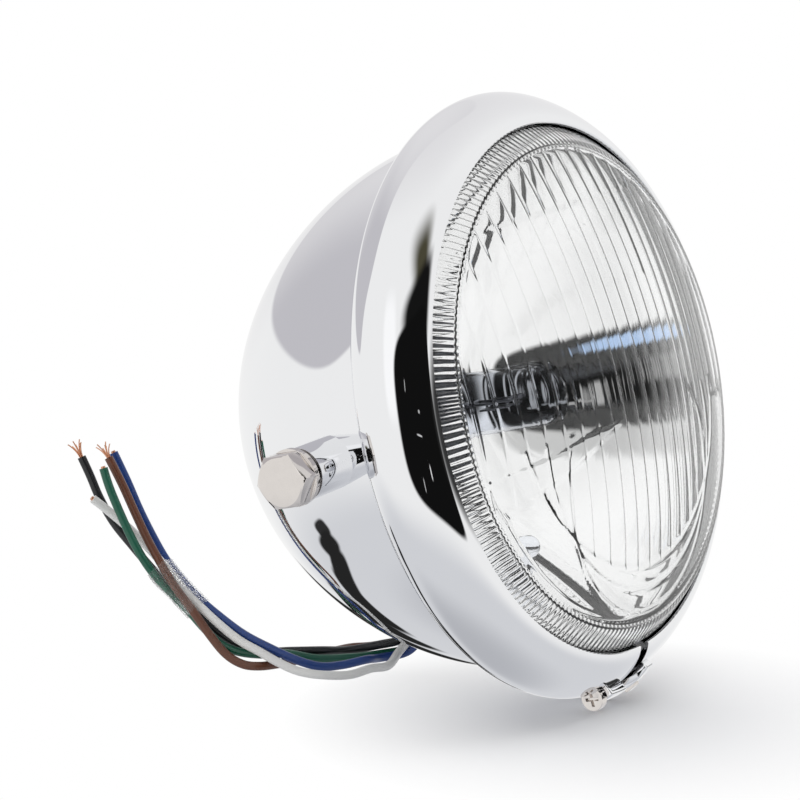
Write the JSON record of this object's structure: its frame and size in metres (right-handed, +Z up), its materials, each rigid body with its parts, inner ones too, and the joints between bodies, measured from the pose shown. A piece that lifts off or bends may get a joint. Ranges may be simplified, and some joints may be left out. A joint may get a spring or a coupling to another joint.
{
  "type": "motorcycle headlight",
  "caption": "Round side-mount motorcycle headlight with a chromed steel bowl, a split trim ring, a fluted glass lens, a replaceable bulb and free wires.",
  "frame": {"origin": "midway between the two side bolts, on their common axis", "axes": "+X along the side bolts, -Y the way the lamp shines, +Z up"},
  "size_m": [0.1874, 0.1563, 0.1642],
  "materials": {
    "chrome": "polished",
    "plated_steel": "bright plated",
    "lens_glass": "clear, fluted",
    "mirror_dish": "vapour-coated mirror",
    "bulb_envelope": "clear",
    "seal_rubber": "matte",
    "plug_plastic": "matte",
    "dark_plastic": "matte",
    "black_wire": "semi-gloss",
    "brown_wire": "semi-gloss",
    "blue_wire": "semi-gloss",
    "green_wire": "semi-gloss",
    "white_wire": "semi-gloss",
    "copper": "bare strands",
    "clear_tape": "clear film"
  },
  "bodies": {
    "root": {"bucket": "chrome", "trim_ring": "chrome", "clamp_screw": "plated_steel", "clamp_nut": "plated_steel", "lens": "lens_glass", "lens_seal": "seal_rubber", "reflector": "mirror_dish", "retaining_ring": "plated_steel", "snap_wire": "plated_steel", "bulb_glass": "bulb_envelope", "bulb_base": "plated_steel", "bulb_filaments": "plated_steel", "bulb_clip": "plated_steel", "dust_boot": "seal_rubber", "bulb_plug": "plug_plastic", "park_bulb": "bulb_envelope", "park_holder": "dark_plastic", "bolt_left": "plated_steel", "bolt_right": "plated_steel", "lock_washer_left": "plated_steel", "lock_washer_right": "plated_steel", "spacer_left": "chrome", "spacer_right": "chrome", "boss_left": "plated_steel", "boss_right": "plated_steel", "grommet": "seal_rubber", "wire_black": "black_wire", "wire_brown": "brown_wire", "wire_blue": "blue_wire", "wire_green": "green_wire", "wire_white": "white_wire", "copper_ends": "copper", "wire_tape": "clear_tape"}
  },
  "joints": []
}
